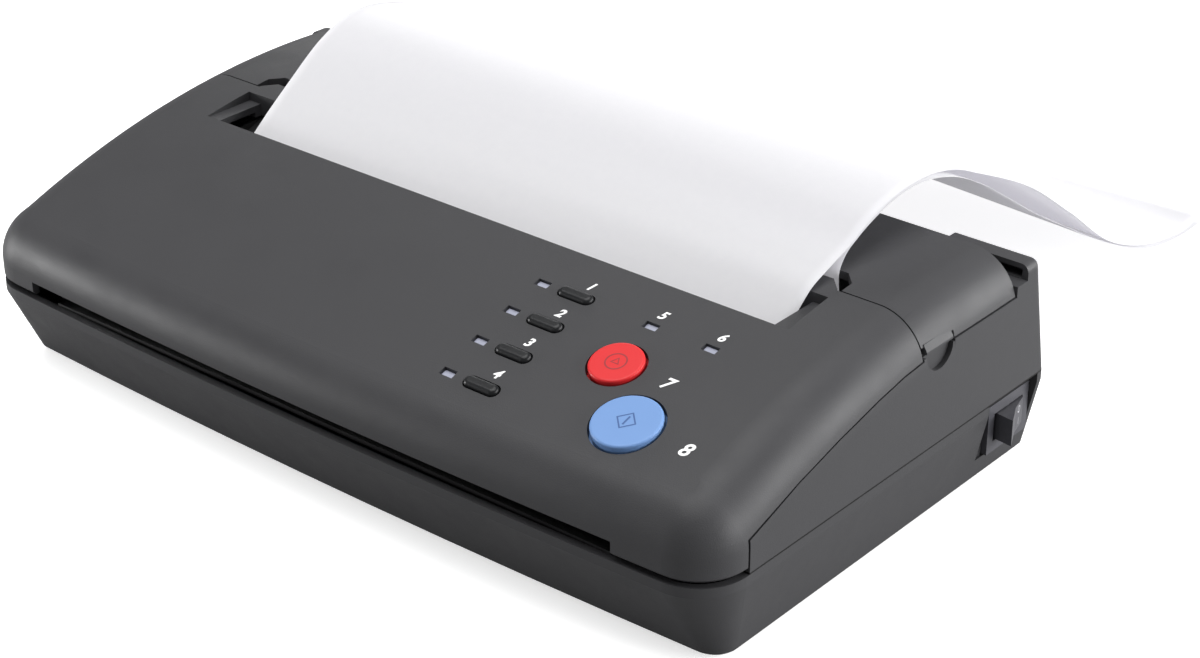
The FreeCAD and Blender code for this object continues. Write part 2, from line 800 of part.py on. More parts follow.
def rear_lid():
    start_y = lid_seam_y + seam_gap / 2
    side = [(start_y, notch_top_z), (notch_rear_y, notch_top_z), (notch_rear_y, lid_side_z),
            (lid_rear_y + seam_gap, lid_side_z), (lid_rear_y + seam_gap, case_top_z), (start_y, case_top_z)]
    body = case_shell.common(prism_x(side, -far_x, far_x))
    half = bridge_half_width + slot_side_gap
    rear = bridge_y + slot_depth
    slot = prism_z([(-half, lid_seam_y - wall), (half, lid_seam_y - wall), (half, rear - bridge_chamfer),
                    (half - bridge_chamfer, rear), (bridge_chamfer - half, rear), (-half, rear - bridge_chamfer)],
                   cover_seam_z, case_top_z)
    rear_wall = case_hump.common(box(-lid_wall_half_width, lid_wall_half_width, lid_rear_y - lid_wall_thickness,
                                     lid_rear_y, lid_wall_low_z, case_top_z))
    arm_inner = tower_inner_x - lid_ear_gap - lid_ear_width
    arms = [lid_arm(x0) for x0 in hinge_spans(arm_inner, lid_ear_width)]
    body = fused([body.cut(slot), rear_wall, lid_tab(1), lid_tab(-1)] + arms)
    return body.cut([rod_x(x0, x0 + lid_ear_width, lid_pivot_y, lid_pivot_z, lid_pin_r + running_clearance)
                     for x0 in hinge_spans(arm_inner, lid_ear_width)])


def lid_hinge_pins():
    start = tower_inner_x - lid_ear_gap - lid_ear_width - lid_ear_gap
    length = tower_inner_x + pin_grip - start
    return Part.makeCompound([rod_x(x0, x0 + length, lid_pivot_y, lid_pivot_z, lid_pin_r)
                              for x0 in hinge_spans(start, length)])


def cover_hinge_pins():
    start = lug_inner_x
    length = ear_inner_x + ear_width - start
    return Part.makeCompound([rod_x(x0, x0 + length, cover_pivot_y, cover_pivot_z, cover_pin_r)
                              for x0 in hinge_spans(start, length)])


def rear_wall_y(z, depth=0.0):
    """y of the leaning rear wall at height z."""
    return rear_y - depth - rear_lean * (z - seam_z) / rear_lean_height


def casing():
    block = case_block()
    rear = block.common(prism_x([(notch_rear_y, seam_z), (notch_rear_y, casing_top_z),
                                 (lid_rear_y + seam_gap, casing_top_z), (lid_rear_y + seam_gap, deck_z),
                                 (tower_front_y, deck_z), (tower_front_y, tower_top_z),
                                 (rear_y + overrun, tower_top_z), (rear_y + overrun, seam_z)], -far_x, far_x))
    edges = [edge for edge in rear.Edges
             if edge.BoundBox.ZMin > tower_top_z - seam_gap and edge.BoundBox.XLength < rear_corner_r + wall
             and edge.BoundBox.YMin > tower_front_y - seam_gap]
    rear = rear.makeFillet(tower_edge_r, edges)
    inner_x = case_half_width - wall
    void = prism_x([(notch_rear_y - wall, seam_z - wall), (rear_wall_y(seam_z - wall, wall), seam_z - wall),
                    (rear_wall_y(deck_z, wall), deck_z - wall), (notch_rear_y - wall, deck_z - wall)],
                   -inner_x, inner_x)
    corner = tower_inner_x + wall
    middle = box(-tower_inner_x, tower_inner_x, notch_rear_y - wall, rear_y + overrun, middle_deck_z, case_top_z)
    middle_void = prism_x([(notch_rear_y - wall, middle_deck_z - wall),
                           (rear_wall_y(middle_deck_z, wall), middle_deck_z - wall),
                           (rear_wall_y(middle_deck_z, wall), deck_z), (notch_rear_y - wall, deck_z)],
                          -corner, corner)
    grip = [box(x0, x0 + pin_grip + wall, tower_front_y - wall, lid_pivot_y + wall + wall,
                middle_deck_z - wall, deck_z - wall / 2) for x0 in hinge_spans(tower_inner_x, pin_grip + wall)]
    rear = fused([rear.cut(void.cut(middle_void)).cut(middle)] + grip)
    side_points = [(cover_seam_y, seam_z)] + seam_line[:-1]
    side_points += [(lid_seam_y + seam_gap, cover_side_end_z), (lid_seam_y + seam_gap, notch_low_z),
                    (notch_rear_y, notch_low_z), (notch_rear_y, casing_top_z), (lid_rear_y - wall, casing_top_z),
                    (lid_rear_y - wall, seam_z)]
    sides = case_shell.common(prism_x(side_points, -far_x, far_x))
    body = fused([sides, rear] + casing_posts())
    cuts = [rod_x(x0, x0 + scoop_depth + overrun, scoop_y, scoop_z, scoop_r)
            for x0 in hinge_spans(case_half_width - scoop_depth, scoop_depth + overrun)]
    cuts += [rod_x(x0, x0 + pin_grip, lid_pivot_y, lid_pivot_z, lid_pin_r)
             for x0 in hinge_spans(tower_inner_x, pin_grip)]
    slot_width = tower_slot_inner_inset - tower_slot_outer_inset
    cuts += [box(x0, x0 + slot_width, tower_front_y - wall, tower_front_y + tower_slot_depth, tower_slot_low_z,
                 tower_slot_top_z) for x0 in hinge_spans(case_half_width - tower_slot_inner_inset, slot_width)]
    cuts += [rod_z(x, y, case_post_join_z, case_screw_head_z + case_screw_head_height + case_screw_length,
                   case_screw_r) for x, y in case_screw_places()]
    return body.cut(cuts)


def case_screw_places():
    return [(x, y) for x in (case_screw_x, -case_screw_x) for y in (case_screw_front_y, case_screw_rear_y)]


def casing_posts():
    """Screw posts that hang from ribs on the side walls."""
    posts = []
    half = case_rib_thickness / 2
    for x, y in case_screw_places():
        side = math.copysign(1, x)
        x0, x1 = sorted((x, side * (case_half_width - wall / 2)))
        posts.append(rod_z(x, y, case_post_join_z + post_gap, case_post_top_z, case_post_r))
        posts.append(box(x0, x1, y - half, y + half, seam_z, case_post_top_z))
    return posts


def base_screws():
    screws = []
    for x, y in case_screw_places():
        head_top = case_screw_head_z + case_screw_head_height
        head = rod_z(x, y, case_screw_head_z, head_top, case_screw_head_r)
        screws.append(head.fuse(rod_z(x, y, head_top, head_top + case_screw_length, case_screw_r)))
    return Part.makeCompound(screws)


def lug(x0):
    """Hinge lug for the cover: a post from the floor with a hooked arm that reaches forward to the pin."""
    arm = prism_x([(cover_pivot_y, cover_pivot_z + lug_r), (lug_post_front_y, cover_pivot_z + lug_arm_rise),
                   (lug_post_rear_y, lug_post_top_z), (lug_post_rear_y, floor_thickness / 2),
                   (lug_post_front_y, floor_thickness / 2), (lug_post_front_y, lug_post_under_z),
                   (cover_pivot_y + lug_arm_front, cover_pivot_z - lug_arm_low), (cover_pivot_y, cover_pivot_z)],
                  x0, x0 + lug_width)
    return arm.fuse(rod_x(x0, x0 + lug_width, cover_pivot_y, cover_pivot_z, lug_r))


def foot_places():
    return [(x, y) for x in (foot_x, -foot_x) for y in (foot_front_y, foot_rear_y)]


def main_board_corners():
    return [(x, y) for x in (main_board_left_x + main_post_inset, main_board_right_x - main_post_inset)
            for y in (main_board_front_y + main_post_inset, main_board_rear_y - main_post_inset)]


def base_pan():
    outer = base_solid(0.0, 0.0, seam_z, base_edge_chamfer)
    inner = base_solid(wall, floor_thickness, seam_z + overrun, 0.0)
    pocket = box(pocket_face_x - pocket_pad, far_x, pocket_front_y - pocket_rim, pocket_rear_y + pocket_rim,
                 pocket_low_z - pocket_rim, seam_z)
    posts = [rod_z(x, y, floor_thickness / 2, case_post_join_z, case_post_r) for x, y in case_screw_places()]
    posts += [rod_z(x, y, floor_thickness / 2, main_board_z, main_post_r) for x, y in main_board_corners()]
    body = outer.cut(inner)
    body = fused([body, pocket.common(outer)] + [post.common(outer) for post in posts])
    body = fused([body] + [lug(x0) for x0 in hinge_spans(lug_inner_x, lug_width)])
    head_hole = case_screw_head_r + screw_clearance
    cuts = [rod_z(x, y, -overrun, case_screw_head_z + case_screw_head_height, head_hole)
            for x, y in case_screw_places()]
    cuts += [rod_z(x, y, -overrun, case_post_join_z + overrun, case_screw_r + screw_clearance)
             for x, y in case_screw_places()]
    cuts += [rod_z(x, y, -overrun, foot_recess, foot_r) for x, y in foot_places()]
    cuts += [rod_z(x, y, floor_thickness, main_board_z, board_screw_r) for x, y in main_board_corners()]
    cuts += [rod_x(x0, x0 + lug_width, cover_pivot_y, cover_pivot_z, cover_pin_r)
             for x0 in hinge_spans(lug_inner_x, lug_width)]
    cuts.append(box(pocket_face_x, far_x, pocket_front_y, pocket_rear_y, pocket_low_z, seam_z + overrun))
    cuts.append(box(pocket_face_x - pocket_pad - wall, pocket_face_x, switch_y - switch_housing_half_y,
                    switch_y + switch_housing_half_y, switch_z - switch_housing_half_z,
                    switch_z + switch_housing_half_z))
    jack_low = main_board_z + board_thickness
    cuts.append(box(jack_x - jack_half_width - jack_hole_gap, jack_x + jack_half_width + jack_hole_gap,
                    jack_rear_y - jack_depth, rear_y + overrun, jack_low - jack_hole_gap,
                    jack_low + jack_height + jack_hole_gap))
    return body.cut(cuts)


def rubber_feet():
    feet = []
    for x, y in foot_places():
        foot = rod_z(x, y, foot_recess - foot_height, foot_recess, foot_r)
        low = [edge for edge in foot.Edges if edge.BoundBox.ZMax < foot_recess - foot_height + foot_edge_r]
        feet.append(foot.makeFillet(foot_edge_r, low))
    return Part.makeCompound(feet)


def switch_body():
    """Housing of the power switch behind the pocket's wall, with its frame in the pocket."""
    inner_x = pocket_face_x - switch_housing_depth
    housing = box(inner_x, pocket_face_x, switch_y - switch_housing_half_y, switch_y + switch_housing_half_y,
                  switch_z - switch_housing_half_z, switch_z + switch_housing_half_z)
    frame = box(pocket_face_x, pocket_face_x + bezel_thickness, switch_y - bezel_half_y, switch_y + bezel_half_y,
                switch_z - bezel_half_z, switch_z + bezel_half_z)
    half_z = rocker_half_z + rocker_side_gap
    well = box(rocker_pivot_x() - rocker_in - rocker_swing_room, far_x, switch_y - rocker_half_y - rocker_end_gap,
               switch_y + rocker_half_y + rocker_end_gap, switch_z - half_z, switch_z + half_z)
    pin = rod_z(rocker_pivot_x(), switch_y, switch_z - half_z - wall / 2, switch_z + half_z + wall / 2, rocker_pin_r)
    return fused([housing, frame]).cut(well).fuse(pin).removeSplitter()


def rocker_pivot_x():
    return pocket_face_x + rocker_pivot_out


def rocker_tip_x():
    return rocker_pivot_x() + rocker_tip


def power_rocker():
    """Rocker with its rear half pressed in and its front half standing out, on an upright pin."""
    x = rocker_pivot_x()
    front = switch_y - rocker_half_y
    points = [(x - rocker_in, switch_y), (x - rocker_heel, switch_y - rocker_front_heel_half_y),
              (x + rocker_waist_out, front + rocker_front_waist), (rocker_tip_x(), front),
              (x + rocker_valley, switch_y), (x + rocker_low_end, switch_y + rocker_half_y),
              (x - rocker_heel, switch_y + rocker_rear_heel_half_y)]
    low = switch_z - rocker_half_z
    high = switch_z + rocker_half_z
    return prism_z(points, low, high).cut(rod_z(x, switch_y, low, high, rocker_pin_r + running_clearance))


def switch_terminals():
    inner_x = pocket_face_x - switch_housing_depth
    half = terminal_width / 2
    return Part.makeCompound([box(inner_x - terminal_length, inner_x, y - terminal_thickness / 2,
                                  y + terminal_thickness / 2, switch_z - half, switch_z + half)
                              for y in (switch_y - terminal_pitch, switch_y, switch_y + terminal_pitch)])


def power_jack():
    low = main_board_z + board_thickness
    body = box(jack_x - jack_half_width, jack_x + jack_half_width, jack_rear_y - jack_depth, jack_rear_y,
               low, low + jack_height)
    middle = low + jack_height / 2
    bore = Part.makeCylinder(jack_bore_r, jack_bore_depth, Vector(jack_x, jack_rear_y - jack_bore_depth, middle),
                             Vector(0, 1, 0))
    pin = Part.makeCylinder(jack_pin_r, jack_bore_depth, Vector(jack_x, jack_rear_y - jack_bore_depth, middle),
                            Vector(0, 1, 0))
    return body.cut(bore).fuse(pin).removeSplitter()


def chassis_plate(side):
    """Upright steel plate with a foot flange; the left one also carries the gears and the motor."""
    outer_x = plate_inner_x + plate_thickness
    rear = plate_motor_end_y if side < 0 else plate_rear_y
    points = [(plate_front_y, floor_thickness), (plate_front_y, plate_nose_z), (plate_top_front_y, plate_top_z),
              (plate_top_rear_y, plate_top_z), (rear, plate_tail_z), (rear, floor_thickness)]
    x0, x1 = sorted((side * plate_inner_x, side * outer_x))
    plate = prism_x(points, x0, x1)
    f0, f1 = sorted((side * (plate_inner_x - plate_foot), side * outer_x))
    flange = box(f0, f1, -plate_foot_half, plate_foot_half, floor_thickness, floor_thickness + plate_thickness)
    plate = fused([plate, flange])
    holes = [rod_x(x0, x1, feed_y, feed_z, bush_r), rod_x(x0, x1, platen_y, platen_z, bush_r)]
    if side < 0:
        holes.append(rod_x(x0, x1, front_idler_y, front_idler_z, axle_r))
        holes.append(rod_x(x0, x1, rear_idler_y, rear_idler_z, axle_r))
        holes.append(rod_x(x0, x1, motor_y, motor_z, motor_boss_r))
    return plate.cut(holes)


def roller_bushes():
    start = plate_inner_x + plate_thickness / 2 - bush_length / 2
    return Part.makeCompound([ring_x(x0, x0 + bush_length, y, z, bush_r, shaft_r + running_clearance)
                              for x0 in hinge_spans(start, bush_length)
                              for y, z in ((feed_y, feed_z), (platen_y, platen_z))])


def roller_shaft(y, z):
    right = plate_inner_x + plate_thickness + bush_length
    return rod_x(-gear_inner_x - gear_width - shaft_end, right, y, z, shaft_r)


def roller(y, z, r):
    return ring_x(-roller_half_length, roller_half_length, y, z, r, shaft_r)


def tie_bar():
    return rod_x(-plate_inner_x, plate_inner_x, tie_y, tie_z, tie_r)


def involute(angle):
    return math.tan(angle) - angle


def tooth_half_angle(teeth, r):
    """Half the angle that a tooth fills at radius r."""
    pitch_r = gear_module * teeth / 2
    pressure = math.radians(pressure_angle)
    base_r = pitch_r * math.cos(pressure)
    half = math.pi / (2 * teeth) - gear_backlash / (4 * pitch_r)
    return half + involute(pressure) - involute(math.acos(min(1, base_r / r)))


def gear(teeth, y, z, phase, bore_r):
    """Spur gear on the left side, with one tooth centred on the angle phase in the y-z plane."""
    pitch_r = gear_module * teeth / 2
    base_r = pitch_r * math.cos(math.radians(pressure_angle))
    root_r = pitch_r - dedendum_factor * gear_module
    tip_r = pitch_r + addendum_factor * gear_module
    start_r = max(base_r, root_r)
    radii = [start_r + (tip_r - start_r) * step / flank_steps for step in range(flank_steps + 1)]
    flank = [(root_r, tooth_half_angle(teeth, start_r))] + [(r, tooth_half_angle(teeth, r)) for r in radii]
    points = []
    for tooth in range(teeth):
        middle = phase + 2 * math.pi * tooth / teeth
        for r, half in [(r, -half) for r, half in flank] + flank[::-1]:
            points.append((y + r * math.cos(middle + half), z + r * math.sin(middle + half)))
    blank = prism_x(points, -gear_inner_x - gear_width, -gear_inner_x)
    return blank.cut(rod_x(-gear_inner_x - gear_width, -gear_inner_x, y, z, bore_r))


def meshing_phase(first_teeth, first_phase, direction, second_teeth):
    """Phase of a gear that meshes with a first gear, lying from it in the given direction."""
    pitch = 2 * math.pi / first_teeth
    share = ((direction - first_phase) / pitch) % 1
    return direction + math.pi - (1 / 2 - share) * 2 * math.pi / second_teeth


front_idler_phase = meshing_phase(platen_teeth, 0, math.radians(front_idler_direction), front_idler_teeth)
feed_phase = meshing_phase(front_idler_teeth, front_idler_phase, math.radians(feed_direction), feed_teeth)
rear_idler_phase = meshing_phase(platen_teeth, 0, math.radians(rear_idler_direction), rear_idler_teeth)
pinion_phase = meshing_phase(rear_idler_teeth, rear_idler_phase, math.radians(motor_direction), pinion_teeth)


def idler_axle(y, z):
    """Axle pressed into the left plate, with a shoulder behind the gear and a head in front of it."""
    plate_x = -plate_inner_x
    shoulder_x = -plate_inner_x - plate_thickness
    gear_x = -gear_inner_x
    outer_x = gear_x - gear_width
    shoulder = rod_x(gear_x + axle_end_gap, shoulder_x, y, z, axle_head_r)
    head = rod_x(outer_x - axle_end_gap - axle_head, outer_x - axle_end_gap, y, z, axle_head_r)
    return fused([rod_x(outer_x - axle_end_gap - axle_head, plate_x, y, z, axle_r), shoulder, head])


def motor_body():
    can = rod_x(-plate_inner_x + motor_ear, -plate_inner_x + motor_ear + motor_length, motor_y, motor_z, motor_r)
    ear = box(-plate_inner_x, -plate_inner_x + motor_ear, motor_y - motor_ear_half, motor_y + motor_ear_half,
              motor_z - motor_r, motor_z + motor_ear_reach)
    flange = rod_x(-plate_inner_x, -plate_inner_x + motor_ear, motor_y, motor_z, motor_r)
    hole = rod_x(-plate_inner_x, -plate_inner_x + motor_ear + motor_bearing, motor_y, motor_z,
                 motor_shaft_r + running_clearance)
    return fused([can, ear, flange]).cut(hole)


def motor_shaft():
    inner = -plate_inner_x + motor_ear + motor_bearing - axle_end_gap
    return rod_x(-gear_inner_x - gear_width - axle_head, inner, motor_y, motor_z, motor_shaft_r)


def side_tabs(y0, y1, z0, z1):
    """Blocks that tie a part between the plates to both of them."""
    return [box(x0, x0 + plate_inner_x - tab_inner_x, y0, y1, z0, z1)
            for x0 in hinge_spans(tab_inner_x, plate_inner_x - tab_inner_x)]


def glass_top_z():
    return feed_z - feed_r - nip_gap


def scan_bar():
    top = glass_top_z() - glass_proud
    low = top - scan_height
    bar = box(-tab_inner_x, tab_inner_x, feed_y - scan_half_width, feed_y + scan_half_width, low, top)
    tabs = side_tabs(feed_y - scan_half_width, feed_y + scan_half_width, low, low + scan_tab_height)
    pocket = box(-scan_half_length, scan_half_length, feed_y - scan_half_width + scan_glass_margin,
                 feed_y + scan_half_width - scan_glass_margin, glass_top_z() - scan_glass_thickness, case_top_z)
    return fused([bar] + tabs).cut(pocket)


def scan_glass():
    return box(-scan_half_length, scan_half_length, feed_y - scan_half_width + scan_glass_margin,
               feed_y + scan_half_width - scan_glass_margin, glass_top_z() - scan_glass_thickness, glass_top_z())


def strip(points, half_width, thickness):
    """Bent plate whose upper face runs through the points."""
    return prism_x(points + [(y, z - thickness) for y, z in points[::-1]], -half_width, half_width)


def document_chute():
    points = [(chute_rear_y, chute_rear_z), (chute_middle_y, chute_middle_z), (chute_end_y, chute_end_z)]
    floor = strip(points, tab_inner_x, guide_thickness)
    walls = []
    for x0 in hinge_spans(guide_half_width, tab_inner_x - guide_half_width):
        walls.append(prism_x(points + [(y, z + chute_side_height) for y, z in points[:0:-1]]
                             + [(chute_rear_y, chute_rear_z)], x0, x0 + tab_inner_x - guide_half_width))
    tabs = side_tabs(chute_middle_y - chute_tab_half, chute_middle_y + chute_tab_half,
                     chute_middle_z - chute_tab_half, chute_middle_z)
    return fused([floor] + walls + tabs)


def document_guide():
    start_y = feed_y - scan_half_width - guide_thickness
    points = [(start_y, glass_top_z() - guide_thickness), (guide_bend_y, guide_bend_z), (guide_end_y, guide_end_z)]
    plate = strip(points, guide_half_width, guide_thickness)
    low = glass_top_z() - guide_thickness - guide_tab_depth
    tabs = [box(x0, x0 + plate_inner_x - guide_half_width, start_y - guide_tab_depth, start_y, low,
                low + guide_thickness + guide_thickness)
            for x0 in hinge_spans(guide_half_width, plate_inner_x - guide_half_width)]
    ribs = [box(x0, x0 + guide_thickness, start_y - guide_tab_depth, start_y, low, low + guide_tab_depth)
            for x0 in hinge_spans(guide_half_width - guide_thickness, guide_thickness)]
    return fused([plate] + tabs + ribs)


def exit_guide():
    points = [(exit_guide_start_y, exit_guide_start_z), (exit_guide_bend_y, exit_guide_bend_z),
              (exit_guide_end_y, exit_guide_end_z)]
    plate = strip(points, guide_half_width, guide_thickness)
    tabs = [box(x0, x0 + plate_inner_x - guide_half_width, exit_guide_bend_y, exit_guide_bend_y + guide_tab_depth,
                exit_guide_bend_z - guide_thickness, exit_guide_bend_z)
            for x0 in hinge_spans(guide_half_width, plate_inner_x - guide_half_width)]
    return fused([plate] + tabs)


def head_top_z():
    return platen_z - platen_r - nip_gap


def thermal_head():
    return box(-roller_half_length, roller_half_length, platen_y - head_half_width, platen_y + head_half_width,
               head_top_z() - head_thickness, head_top_z())


def sink_low_z():
    return head_top_z() - head_thickness - sink_thickness - sink_fin_height


def heat_sink():
    top = head_top_z() - head_thickness
    half = head_half_width
    plate = box(-sink_half_length, sink_half_length, platen_y - half, platen_y + half, top - sink_thickness, top)
    step = (2 * half - sink_fin_thickness) / (sink_fin_count - 1)
    fins = [box(-sink_half_length, sink_half_length, platen_y - half + step * index,
                platen_y - half + step * index + sink_fin_thickness, sink_low_z(), top - sink_thickness)
            for index in range(sink_fin_count)]
    tabs = [box(x0, x0 + plate_inner_x - sink_half_length, platen_y - sink_tab_half, platen_y + sink_tab_half,
                top - sink_thickness, top - sink_thickness / 2)
            for x0 in hinge_spans(sink_half_length, plate_inner_x - sink_half_length)]
    return fused([plate] + fins + tabs)


def head_springs():
    """Three springs, made as stacked rings on a core, between the floor and the heat sink."""
    low = floor_thickness
    high = sink_low_z()
    pitch = (high - low) / spring_turns
    springs = []
    for x in (-spring_x, 0, spring_x):
        coil = rod_z(x, platen_y, low, high, spring_core_r)
        for turn in range(spring_turns):
            coil = coil.fuse(rod_z(x, platen_y, low + pitch * turn, low + pitch * turn + 2 * spring_wire_r, spring_r))
        springs.append(coil)
    return Part.makeCompound(springs)


def main_board():
    board = box(main_board_left_x, main_board_right_x, main_board_front_y, main_board_rear_y, main_board_z,
                main_board_z + board_thickness)
    return board.cut([rod_z(x, y, main_board_z, main_board_z + board_thickness, board_screw_r)
                      for x, y in main_board_corners()])


def main_board_screws():
    top = main_board_z + board_thickness
    return Part.makeCompound([rod_z(x, y, main_board_z - board_screw_depth, top, board_screw_r).fuse(
        rod_z(x, y, top, top + board_screw_head_height, board_screw_head_r)) for x, y in main_board_corners()])


def board_parts():
    """Chips, two capacitors and a row of connectors that stand on the main board."""
    top = main_board_z + board_thickness
    middle_y = (main_board_front_y + main_board_rear_y) / 2
    pieces = [box(x - chip_half, x + chip_half, middle_y - chip_half, middle_y + chip_half, top, top + chip_height)
              for x in chip_xs]
    pieces += [rod_z(x, middle_y, top, top + capacitor_height, capacitor_r) for x in capacitor_xs]
    pieces += [box(x - connector_half, x + connector_half, main_board_rear_y - connector_inset - connector_depth,
                   main_board_rear_y - connector_inset, top, top + connector_height) for x in connector_xs]
    return Part.makeCompound(pieces)


def along(points, length, count):
    """Evenly spaced points, with their normals, over a length of the smooth curve through the given points."""
    curve = Part.BSplineCurve()
    curve.interpolate([Vector(0, y, z) for y, z in points])
    dense = curve.toShape().discretize(Number=count * sheet_smooth_share)
    walked = [0.0]
    for first, second in zip(dense, dense[1:]):
        walked.append(walked[-1] + (second - first).Length)
    places = []
    index = 0
    for step in range(count):
        target = length * step / (count - 1)
        while index < len(dense) - 2 and walked[index + 1] < target:
            index += 1
        direction = (dense[index + 1] - dense[index]).normalize()
        place = dense[index] + direction * (target - walked[index])
        places.append((place, Vector(0, -direction.z, direction.y)))
    return places


def sheet_edge(points, x):
    """Closed outline of a sheet's section at x, half its thickness to each side of the curve."""
    places = along(points, sheet_length, sheet_point_count)
    upper = [Vector(x, place.y, place.z) + normal * (sheet_thickness / 2) for place, normal in places]
    lower = [Vector(x, place.y, place.z) - normal * (sheet_thickness / 2) for place, normal in places]
    curves = []
    for side in (upper, lower[::-1]):
        curve = Part.BSplineCurve()
        curve.interpolate(side)
        curves.append(curve.toShape())
    joints = [Part.makeLine(upper[-1], lower[-1]), Part.makeLine(lower[0], upper[0])]
    return Part.Wire([curves[0], joints[0], curves[1], joints[1]]), max(place.y for place in upper + lower)


def sheet(left, right):
    left_wire, left_end = sheet_edge(left, sheet_right_x - sheet_width)
    right_wire, right_end = sheet_edge(right, sheet_right_x)
    return Part.makeLoft([left_wire, right_wire], True, True), max(left_end, right_end)


original_sheet, original_end_y = sheet(original_left, original_right)
transfer_sheet, transfer_end_y = sheet(transfer_left, transfer_right)

# The part's own frame: the middle of its width and length at x = 0 and y = 0, underside of its feet at z = 0
to_part_frame = Vector((case_half_width - rocker_tip_x()) / 2, -(front_y + max(original_end_y, transfer_end_y)) / 2, foot_height - foot_recess)

pieces = {
    "base_pan": base_pan(),
    "casing": casing(),
    "control_cover": control_cover(),
    "rear_lid": rear_lid(),
    "rubber_feet": rubber_feet(),
    "base_screws": base_screws(),
    "lid_hinge_pins": lid_hinge_pins(),
    "cover_hinge_pins": cover_hinge_pins(),
    "stop_button": round_button(stop_x, stop_y, stop_r, stop_height),
    "copy_button": round_button(copy_x, copy_y, copy_r, copy_height),
    "indicator_lenses": indicator_lenses(),
    "control_board": control_board(),
    "tact_switches": tact_switches(),
    "control_board_screws": board_screws(),
    "switch_body": switch_body(),
    "power_rocker": power_rocker(),
    "switch_terminals": switch_terminals(),
    "power_jack": power_jack(),
    "left_chassis_plate": chassis_plate(-1),
    "right_chassis_plate": chassis_plate(1),
    "tie_bar": tie_bar(),
    "roller_bushes": roller_bushes(),
    "feed_shaft": roller_shaft(feed_y, feed_z),
    "feed_roller": roller(feed_y, feed_z, feed_r),
    "feed_gear": gear(feed_teeth, feed_y, feed_z, feed_phase, shaft_r),
    "platen_shaft": roller_shaft(platen_y, platen_z),
    "platen_roller": roller(platen_y, platen_z, platen_r),
    "platen_gear": gear(platen_teeth, platen_y, platen_z, 0, shaft_r),
    "front_idler": gear(front_idler_teeth, front_idler_y, front_idler_z, front_idler_phase,
                        axle_r + axle_clearance),
    "rear_idler": gear(rear_idler_teeth, rear_idler_y, rear_idler_z, rear_idler_phase, axle_r + axle_clearance),
    "front_idler_axle": idler_axle(front_idler_y, front_idler_z),
    "rear_idler_axle": idler_axle(rear_idler_y, rear_idler_z),
    "motor_body": motor_body(),
    "motor_shaft": motor_shaft(),
    "motor_pinion": gear(pinion_teeth, motor_y, motor_z, pinion_phase, motor_shaft_r),
    "scan_bar": scan_bar(),
    "scan_glass": scan_glass(),
    "document_chute": document_chute(),
    "document_guide": document_guide(),
    "exit_guide": exit_guide(),
    "thermal_head": thermal_head(),
    "heat_sink": heat_sink(),
    "head_springs": head_springs(),
    "main_board": main_board(),
    "main_board_screws": main_board_screws(),
    "board_parts": board_parts(),
    "original_sheet": original_sheet,
    "transfer_sheet": transfer_sheet,
}
for index, (x, y) in enumerate(key_places):
    pieces["key_%d" % (index + 1)] = key_cap(x, y)

print("shift", to_part_frame, original_end_y, transfer_end_y)
for name, shape in pieces.items():
    shape.translate(to_part_frame)
    shape.exportStep("parts/%s.step" % name)
    print(name, shape.isValid(), len(shape.Solids), round(shape.Volume))
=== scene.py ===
"""Looks of the thermal stencil copier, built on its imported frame.

The frame is in metres. Machine coordinates are in millimetres, with x to the right, y to the rear
and z up from the base pan's underside; place() moves them into the frame."""

import math

import bpy
import numpy as np
from mathutils import Matrix, Vector


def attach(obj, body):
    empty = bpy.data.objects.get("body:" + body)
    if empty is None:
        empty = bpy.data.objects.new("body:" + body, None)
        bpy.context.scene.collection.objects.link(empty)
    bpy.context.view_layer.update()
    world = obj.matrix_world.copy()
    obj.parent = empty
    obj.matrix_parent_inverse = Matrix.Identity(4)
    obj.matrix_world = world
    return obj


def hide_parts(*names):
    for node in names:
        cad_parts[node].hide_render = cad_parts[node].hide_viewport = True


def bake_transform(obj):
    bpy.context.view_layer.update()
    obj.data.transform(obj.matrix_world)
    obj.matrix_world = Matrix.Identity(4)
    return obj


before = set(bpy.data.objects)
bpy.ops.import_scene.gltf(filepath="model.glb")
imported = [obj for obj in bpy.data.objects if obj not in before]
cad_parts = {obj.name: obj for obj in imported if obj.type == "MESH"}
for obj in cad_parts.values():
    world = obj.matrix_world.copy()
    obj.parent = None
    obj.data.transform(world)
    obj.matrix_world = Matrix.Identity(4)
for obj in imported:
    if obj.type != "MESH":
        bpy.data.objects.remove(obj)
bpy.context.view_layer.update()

MM = 0.001
# The machine's origin in the frame, in millimetres; the last value is the height of the feet
ORIGIN = (-1.8, -81.51287, 1.5)

# Points (y, z) on the long arc of the case's top, and y at the middle of the control panel
TOP_POINTS = ((-70.0, 50.1), (-9.8, 66.8), (50.0, 71.4))
PANEL_MIDDLE = -43.15


def place(x, y, z):
    """Point of the machine as a point of the frame."""
    return Vector([(value + shift) * MM for value, shift in zip((x, y, z), ORIGIN)])


def place_array(points):
    """The same for an array of points."""
    return (np.asarray(points, float) + ORIGIN) * MM


def circle_through(first, second, third):
    """Centre and radius of the circle through three points, where two perpendicular bisectors
    cross."""
    (ay, az), (by, bz), (cy, cz) = first, second, third
    d = 2 * ((ay - cy) * (bz - cz) - (by - cy) * (az - cz))
    p = (ay - cy) * (ay + cy) + (az - cz) * (az + cz)
    q = (by - cy) * (by + cy) + (bz - cz) * (bz + cz)
    y = (p * (bz - cz) - q * (az - cz)) / d
    z = (q * (ay - cy) - p * (by - cy)) / d
    return y, z, math.hypot(ay - y, az - z)


ARC_Y, ARC_Z, ARC_R = circle_through(*TOP_POINTS)


def top_z(y):
    """Height of the long arc of the case's top at y."""
    return ARC_Z + math.sqrt(ARC_R ** 2 - (y - ARC_Y) ** 2)


def top_tilt(y):
    """Angle of the same arc at y, about the x axis."""
    return math.asin((ARC_Y - y) / ARC_R)


